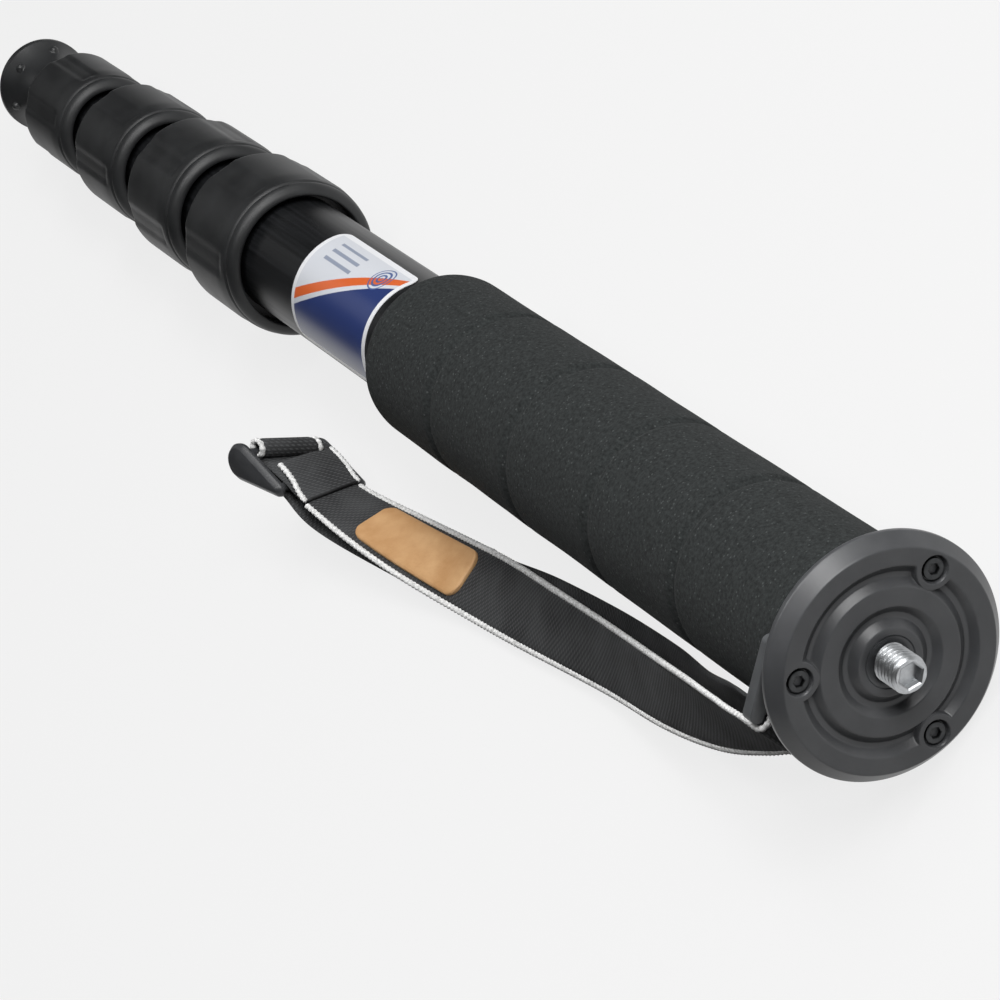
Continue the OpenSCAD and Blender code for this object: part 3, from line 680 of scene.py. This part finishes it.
def makeLabel():
    spec = labelPrint
    low, high = (math.radians(spec[k]) * spec["radius"] for k in ("low", "high"))
    n, m = spec["columns"], spec["rows"]
    points = []
    for lift in spec["lifts"]:
        for k in range(n + 1):
            u = spec["length"] * (0.5 - 0.5 * math.cos(math.pi * k / n))
            cut = cornerCut(u, spec["length"], spec["corner"])
            sides = [low + cut + (high - low - 2 * cut) * j / m for j in range(m + 1)]
            points += [legPoint(spec["from"] + u, spec["radius"] + lift, s / spec["radius"]) for s in sides]
    makePiece("labelFilm", points, slabFaces(n, m), "head", "label", ["tube_label"], sharpAt=40)


lockCollar = {
    "length": 36.0,
    "fronts": [354.0, 407.5, 461.0, 514.5],
    "tubeRadii": [18.0, 16.0, 14.0, 12.0],
    "turns": [22.0, 6.0, 20.0, 34.0],
    "wall": 6.0,
    "lipGap": 1.7,
    "nutGap": 3.8,
    "lipDepth": 3.0,
    "lipEdge": 0.5,
    "lipCut": 0.15,
    "bead": 3.2,
    "beadSteps": 12,
    "drop": 0.8,
    "creaseWide": 0.9,
    "creaseDepth": 0.3,
    "creaseSteps": 6,
    "taperFrom": (4.5, 0.3),
    "taper": 9.0,
    "taperSoft": 2.0,
    "barrelStep": 0.5,
    "backRound": [(0.9, 0.06), (0.4, 0.3), (0.1, 0.7), (0.0, 1.2)],
    "backFrom": 1.4,
    "pads": 6,
    "padFrom": 5.0,
    "padInset": 7.0,
    "padEnds": (-1.2, 1.6),
    "padAngle": 16.0,
    "padSide": 4.0,
    "padDepth": 0.5,
    "padLowest": 1.3,
    "segments": 288,
}


def makeCollar(index):
    spec = lockCollar
    f = spec["fronts"][index]
    tube = spec["tubeRadii"][index]
    out, lip, inner = tube + spec["wall"], tube + spec["lipGap"], tube + spec["nutGap"]
    e = f + spec["length"]
    low, rise = out - spec["drop"], lip + spec["lipEdge"]
    bead = [(f + spec["lipDepth"], lip), (f + spec["lipEdge"], lip), (f + spec["lipCut"], lip + spec["lipCut"])]
    for k in range(spec["beadSteps"] + 1):
        a = math.pi / 2 * k / spec["beadSteps"]
        bead.append((f + spec["bead"] * (1 - math.cos(a)), rise + (low - rise) * math.sin(a)))
    crease = []
    for k in range(1, spec["creaseSteps"] + 1):
        v = k / spec["creaseSteps"]
        dip = spec["creaseDepth"] * math.sin(math.pi * v) ** 2
        crease.append((f + spec["bead"] + spec["creaseWide"] * v, low - dip))
    taperT, taperR = spec["taperFrom"]
    barrel = [(f + taperT, low + taperR), (f + spec["taper"], out), (e - spec["backFrom"], out)]
    barrel = fillProfile(softCorners(barrel, spec["taperSoft"]), spec["barrelStep"])
    tail = [(e - t, out - r) for t, r in spec["backRound"]] + [(e, inner)]
    profile = [(f + spec["lipDepth"], inner)] + bead + crease + barrel + tail

    # shallow grip recesses run from behind the lip to the back edge
    def sinkRecesses(t, r, a):
        if t < f + spec["padFrom"] or r < out - spec["padLowest"]:
            return t, r
        pitch = 360 / spec["pads"]
        off = abs((math.degrees(a) - spec["turns"][index] + pitch / 2) % pitch - pitch / 2)
        half = spec["padAngle"] / 2
        depth = 1.0 - smoothStep(off, half - spec["padSide"], half + spec["padSide"])
        depth *= smoothStep(t, *(f + spec["padInset"] + end for end in spec["padEnds"]))
        return t, r - spec["padDepth"] * depth

    number = str(index + 1)
    turnedPiece("lockCollar" + number, profile, spec["segments"], "lock_" + number, "grip_rubber",
                "lock_grip_" + number, sinkRecesses)


rubberFoot = {"top": 559.5, "end": 583.0, "neck": 11.0, "neckLength": 4.0, "neckTurn": (-90, 61, 15), "waist": 10.2,
              "rim": 15.3, "rimThick": 3.0, "rimSoft": 1.0, "curve": 2.2, "flareSteps": 66, "bore": 5.05,
              "hollowTop": 574.0, "hollowFloor": 9.0, "hollow": 12.3, "nubs": 6, "nubAt": 0.74, "nub": 1.4,
              "segments": 360}


# trumpet-shaped foot with a rolled neck and small round nubs on its flare
def makeFoot():
    spec = rubberFoot
    f, e, roll = spec["top"], spec["end"], spec["neckLength"] / 2
    neck = [(f + roll + roll * math.sin(math.radians(a)), spec["neck"] - roll + roll * math.cos(math.radians(a)))
            for a in range(*spec["neckTurn"])]
    start, reach = f + spec["neckLength"], e - f - spec["neckLength"] - spec["rimThick"]

    def flareAt(u):
        return spec["waist"] + (spec["rim"] - spec["waist"]) * u ** spec["curve"]

    steps = spec["flareSteps"]
    flare = [(start + reach * k / steps, flareAt(k / steps)) for k in range(steps + 1)]
    edge = softCorners([flare[-1], (e, spec["rim"]), (e, spec["hollow"])], spec["rimSoft"], steps=5)[1:]
    profile = [(f, spec["bore"])] + neck + flare + edge + [(spec["hollowTop"], spec["hollowFloor"]),
                                                           (spec["hollowTop"], spec["bore"])]
    nubT = start + reach * spec["nubAt"]
    lean = math.atan(spec["curve"] * (spec["rim"] - spec["waist"]) / reach * spec["nubAt"] ** (spec["curve"] - 1))

    def raiseNubs(t, r, a):
        if not start < t < e - spec["rimThick"] or r < spec["waist"]:
            return t, r
        pitch = 2 * math.pi / spec["nubs"]
        off = (a + pitch / 2) % pitch - pitch / 2
        away = math.hypot(off * r, (t - nubT) / math.cos(lean))
        rise = math.sqrt(max(0.0, spec["nub"] ** 2 - away ** 2))
        return t - rise * math.sin(lean), r + rise * math.cos(lean)

    turnedPiece("rubberFoot", profile, spec["segments"], "leg_5", "foot_rubber", "rubber_foot", raiseNubs)


makePlate()
makeScrews()
makeStud()
makeGrip()
makeLabel()
for index in range(len(lockCollar["fronts"])):
    makeCollar(index)
makeFoot()
print("leg pieces made")


# the wrist strap's run, in millimetres from the bracket's bar: along, sideways, height over the sloping floor,
# bank in degrees, half the gap between its two layers, the inner layer's bulge towards the leg
strapRun = {
    "bar": (-14.5, -27.7),
    "floor": -30.8,
    "stations": [
        (0, 0, 32, 90, 2.4, 0),
        (-9, 0, 31.843, 90, 2.4, 0),
        (-21.4, -2.4, 29.4, 77, 2.3, 0.8),
        (-43.8, -5.8, 23.4, 59, 2.5, 0.3),
        (-75, -8.4, 16.3, 46, 2.9, 1.4),
        (-113, -10.9, 9.4, 39, 1.9, 2.7),
        (-152, -14.1, 6.5, 25, 1.2, 2.5),
        (-191, -17.1, 3.1, 2, 1.2, 0.8),
        (-230, -21, 5.8, -20, 1.6, 0),
        (-263, -24.1, 11.4, -45, 3, 0),
        (-276.5, -22.8, 16.8, -53, 2.2, 0),
        (-290, -20.9, 23.2, -57, 1.2, 0),
    ],
    "steps": 16,
    "nudge": 0.05,
    "turnSteps": 14,
    "halfWidth": 9.0,
    "thick": 1.2,
    "cells": 10,
    "selvedge": 0.3,
    "edgeAt": 9.15,
    "edgeWide": 0.85,
    "edgeThick": 0.72,
    "edgeSides": 8,
    "beadPitch": 1.7,
    "beadSwell": 0.16,
    "beadEnd": 0.4,
    "sewnAt": 9.25,
    "innerEdges": (7.0, 7.2),
}
lastStation = len(strapRun["stations"]) - 1


# smooth curve through the stations
def runAt(s):
    stations = strapRun["stations"]
    k = min(int(s), lastStation - 1)
    t = s - k
    rows = [stations[min(max(k + j, 0), lastStation)] for j in (-1, 0, 1, 2)]
    return [0.5 * (2 * b + (c - a) * t + (2 * a - 5 * b + 4 * c - d) * t * t + (3 * b - a - 3 * c + d) * t ** 3)
            for a, b, c, d in zip(*rows)]


def runPoint(s):
    q = runAt(s)
    rise = strapRun["floor"] - studio["floorSlope"] * q[0]
    return Vector((strapRun["bar"][0] + q[0], strapRun["bar"][1] + q[1], q[2] + rise))


# middle of the gap, direction, across and out of the top, at a station
def runFrame(s):
    near = strapRun["nudge"]
    ahead = (runPoint(min(s + near, lastStation)) - runPoint(max(s - near, 0))).normalized()
    bank = math.radians(runAt(s)[3])
    across = Vector((0, math.cos(bank), math.sin(bank)))
    across = (across - across.dot(ahead) * ahead).normalized()
    return runPoint(s), ahead, across, across.cross(ahead)


# one frame of a layer of webbing: its middle, across and out of its face
def layerFrame(s, side, lift=0.0):
    p, _, across, out = runFrame(s)
    bulge = Vector((0, runAt(s)[5], 0)) if side < 0 else Vector((0, 0, 0))
    return p + side * out * (runAt(s)[4] + lift) + bulge, across, side * out


# the half turn at an end of the loop
def wrapFrames(s, start, ahead):
    p, _, across, _ = runFrame(s)
    half = runAt(s)[4]
    frames = []
    count = strapRun["turnSteps"]
    for k in range(1, count):
        a = math.pi * k / count
        out = math.cos(a) * start + math.sin(a) * ahead
        frames.append((p + half * out, across, out))
    return frames


def layerFrames(low, high, side):
    count = max(2, round(abs(high - low) * strapRun["steps"]))
    return [layerFrame(low + (high - low) * k / count, side) for k in range(count + 1)]


# distance along a line of points, at each of them
def runLengths(line):
    lengths = [0.0]
    for a, b in zip(line, line[1:]):
        lengths.append(lengths[-1] + (b - a).length)
    return lengths


# a flat woven band along the frames, with its weave laid out in metres
def makeBand(name, frames, closed=False):
    half, thick, cells = strapRun["halfWidth"], strapRun["thick"], strapRun["cells"]
    section = []
    for k in range(cells + 1):
        rise = strapRun["selvedge"] if k in (0, cells) else 1.0
        section.append((-half + 2 * half * k / cells, thick / 2 * rise))
    section += [(w, -n) for w, n in reversed(section)]
    wide = len(section)
    points = [tuple((p + across * w + out * n) * mm) for p, across, out in frames for w, n in section]
    faces = ringFaces(len(frames), wide, closed)
    if not closed:
        last = (len(frames) - 1) * wide
        faces += [tuple(range(wide - 1, -1, -1)), tuple(last + k for k in range(wide))]
    piece = makePiece(name, points, faces, "strap", "webbing")
    lengths = runLengths([p for p, _, _ in (frames + frames[:1] if closed else frames)])
    layer = piece.data.uv_layers.new(name="weave")
    for polygon in piece.data.polygons:
        rows = [v // wide for v in polygon.vertices]
        wraps = closed and 0 in rows and len(frames) - 1 in rows
        for loop, vertex, row in zip(polygon.loop_indices, polygon.vertices, rows):
            along = lengths[-1] if wraps and row == 0 else lengths[row]
            layer.data[loop].uv = (along * mm, section[vertex % wide][0] * mm)
    return piece, lengths[-1]


# a thin corded edging along one side of each run of frames, waisted between its stitches
def makeEdging(name, runs):
    points, faces = [], []
    ring, pitch = strapRun["edgeSides"], strapRun["beadPitch"]
    for frames, offset in runs:
        line = [p + across * offset for p, across, _ in frames]
        lengths = runLengths(line)
        count = max(4, round(lengths[-1] / (pitch / 4)))
        start, k = len(points), 0
        for i in range(count + 1):
            reach = lengths[-1] * i / count
            while k < len(line) - 2 and lengths[k + 1] < reach:
                k += 1
            v = (reach - lengths[k]) / max(1e-6, lengths[k + 1] - lengths[k])
            middle = line[k].lerp(line[k + 1], v)
            across = frames[k][1].lerp(frames[k + 1][1], v)
            out = frames[k][2].lerp(frames[k + 1][2], v)
            bead = 1.0 + strapRun["beadSwell"] * math.cos(2 * math.pi * reach / pitch)
            if i in (0, count):
                bead *= strapRun["beadEnd"]
            for j in range(ring):
                a = 2 * math.pi * j / ring
                points.append(tuple((middle + across * strapRun["edgeWide"] * bead * math.cos(a)
                                     + out * strapRun["edgeThick"] * bead * math.sin(a)) * mm))
        faces += ringFaces(count + 1, ring, False, start)
        last = start + count * ring
        faces += [tuple(start + j for j in range(ring - 1, -1, -1)), tuple(last + j for j in range(ring))]
    return makePiece(name, points, faces, "strap", edgingFinish)


# the end is folded back over the slider and sewn down on the top layer, a little to one side
strapFold = {"to": 10.5, "lift": 1.25, "arch": 0.5, "aside": 3.2, "asideFrom": 9.3, "asideTo": 10.7, "steps": 32}


def foldFrames():
    spec, sewn = strapFold, strapRun["sewnAt"]
    frames = []
    for k in range(spec["steps"] + 1):
        s = sewn + (spec["to"] - sewn) * k / spec["steps"]
        lift = spec["lift"] + spec["arch"] * math.sin(math.pi * k / spec["steps"])
        middle, across, out = layerFrame(s, 1, lift)
        aside = spec["aside"] * smoothStep(s, spec["asideFrom"], spec["asideTo"])
        frames.append((middle + across * aside, across, out))
    return frames


# loose roll of webbing over the slider's far bar, higher at its outer end
strapRoll = {"radius": 2.2, "left": (-9.6, 0.0, 4.4), "right": (8.6, -4.8, 3.3), "from": -150, "to": 170, "steps": 32}


def rollFrames():
    spec = strapRoll
    p, ahead, across, out = runFrame(lastStation)
    left, rightEnd = (p + across * a + ahead * b + out * c for a, b, c in (spec["left"], spec["right"]))
    rollAcross = (rightEnd - left).normalized()
    middle = (left + rightEnd) / 2
    frames = []
    for k in range(spec["steps"] + 1):
        a = math.radians(spec["from"] + (spec["to"] - spec["from"]) * k / spec["steps"])
        outward = math.cos(a) * out + math.sin(a) * ahead
        frames.append((middle + outward * spec["radius"], rollAcross, outward))
    return frames


def makeStrap():
    spec = strapRun
    _, ahead, _, out = runFrame(lastStation)
    _, barAhead, _, barOut = runFrame(0)
    barTurn = wrapFrames(0, -barOut, -barAhead)
    farTurn = wrapFrames(lastStation, out, ahead)
    loop = layerFrames(0, lastStation, 1) + farTurn + layerFrames(lastStation, 0, -1) + barTurn
    folded, roll = foldFrames(), rollFrames()
    band, length = makeBand("wristStrap", loop, True)
    foldBack, foldLength = makeBand("strapFoldBack", folded)
    rollBand, rollLength = makeBand("strapRoll", roll)

    e = spec["edgeAt"]
    innerTo, innerFrom = spec["innerEdges"]
    topEdged = barTurn + layerFrames(0, spec["sewnAt"], 1)
    edging = makeEdging("strapEdging", [
        (topEdged, -e), (topEdged, e),
        (layerFrames(0, innerTo, -1), -e), (layerFrames(innerFrom, lastStation, -1), e),
        (folded, -e), (folded, e), (roll, -e), (roll, e)])
    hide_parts("wrist_strap")
    print("strap webbing, mm:", round(length + foldLength + rollLength))


leatherPatch = {"at": 7.85, "length": 50.0, "width": 14.5, "corner": 4.0, "thick": 1.3, "gap": 0.08, "crown": 0.45,
                "crownWide": 0.9, "columns": 56, "rows": 18}


def makePatch():
    spec = leatherPatch
    perStation = (runPoint(spec["at"] + 0.5) - runPoint(spec["at"] - 0.5)).length
    points = []
    n, m = spec["columns"], spec["rows"]
    for side in (1, 0):
        for i in range(n + 1):
            u = 0.5 - 0.5 * math.cos(math.pi * i / n)
            along = u * spec["length"]
            half = spec["width"] / 2 - cornerCut(along, spec["length"], spec["corner"])
            s = spec["at"] + (u - 0.5) * spec["length"] / perStation
            p, across, out = layerFrame(s, 1)
            for j in range(m + 1):
                v = -math.cos(math.pi * j / m)
                # the cut edge is rounded over and the middle stays flat
                toEdge = min(along, spec["length"] - along, half * (1 - abs(v)))
                crown = spec["crown"] * (1 - min(1.0, toEdge / spec["crownWide"])) ** 2
                lift = strapRun["thick"] / 2 + spec["gap"] + side * (spec["thick"] - crown)
                points.append(tuple((p + across * half * v + out * lift) * mm))
    makePiece("leatherPatch", points, slabFaces(n, m, True), "strap", "leather", ["leather_patch"], sharpAt=50)


# far, near and bars are places in the side's plane, with a radius; the edges are pairs of depth and inset
strapSlider = {
    "far": (2.4, -1.5, 5.5),
    "near": (-14.4, -2.0, 2.1),
    "bars": [(0.2, 2.7, 1.2), (-12.9, -2.0, 1.2)],
    "barSides": 32,
    "barInto": 0.6,
    "sideFrom": 10.6,
    "side": 2.4,
    "innerEdge": [(0, 0.4), (0.08, 0.16), (0.25, 0.03), (0.4, 0)],
    "outerEdge": [(1.4, 0), (1.2, 0.06), (0.12, 1.2), (0, 1.5)],
    "tilt": 10.0,
    "skew": (2.7, -4.6, -1.7),
    "outline": 64,
}


# outline of a side plate: two round ends and the straight lines between them, drawn in by a little
def sideOutline(inset):
    (x0, z0, r0), (x1, z1, r1) = strapSlider["far"], strapSlider["near"]
    half = strapSlider["outline"] // 2
    lean = math.atan2(z0 - z1, x0 - x1)
    spread = math.acos((r1 - r0) / math.hypot(x1 - x0, z1 - z0))
    rest = math.pi - spread
    out = []
    for x, z, r, first, span in ((x0, z0, r0, lean - spread, 2 * spread), (x1, z1, r1, lean + spread, 2 * rest)):
        for k in range(half):
            a = first + span * k / (half - 1)
            out.append((x + (r - inset) * math.cos(a), z + (r - inset) * math.sin(a)))
    return out


def makeSlider():
    spec = strapSlider
    p, ahead, across, out = runFrame(lastStation)
    tilt = math.radians(spec["tilt"])
    along = ahead * math.cos(tilt) - out * math.sin(tilt)
    upward = ahead * math.sin(tilt) + out * math.cos(tilt)
    skew = across * spec["skew"][0] + ahead * spec["skew"][1] + out * spec["skew"][2]

    # the frame lies askew: its two sides are shifted along each other
    def place(x, y, z):
        shift = skew * (0.5 - y / 2 / spec["sideFrom"])
        return tuple((p + along * x - across * y + upward * z + shift) * mm)

    points, faces = [], []
    n = spec["outline"]
    rows = spec["innerEdge"] + [(spec["side"] - depth, inset) for depth, inset in spec["outerEdge"]]
    for side in (-1, 1):
        start = len(points)
        for depth, inset in rows:
            points += [place(x, side * (spec["sideFrom"] + depth), z) for x, z in sideOutline(inset)]
        last = start + (len(rows) - 1) * n
        shell = ringFaces(len(rows), n, False, start)
        shell += [tuple(start + k for k in range(n - 1, -1, -1)), tuple(last + k for k in range(n))]
        faces += [tuple(reversed(face)) for face in shell] if side > 0 else shell
    ends = spec["sideFrom"] + spec["barInto"]
    angles = [2 * math.pi * k / spec["barSides"] for k in range(spec["barSides"])]
    for x, z, r in spec["bars"]:
        start = len(points)
        for y in (-ends, ends):
            points += [place(x + r * math.cos(a), y, z + r * math.sin(a)) for a in angles]
        faces += ringFaces(2, len(angles), False, start)
    makePiece("strapSlider", points, faces, "strap", "slider", ["strap_slider"], sharpAt=30)


makeStrap()
makePatch()
makeSlider()
print("strap pieces made")
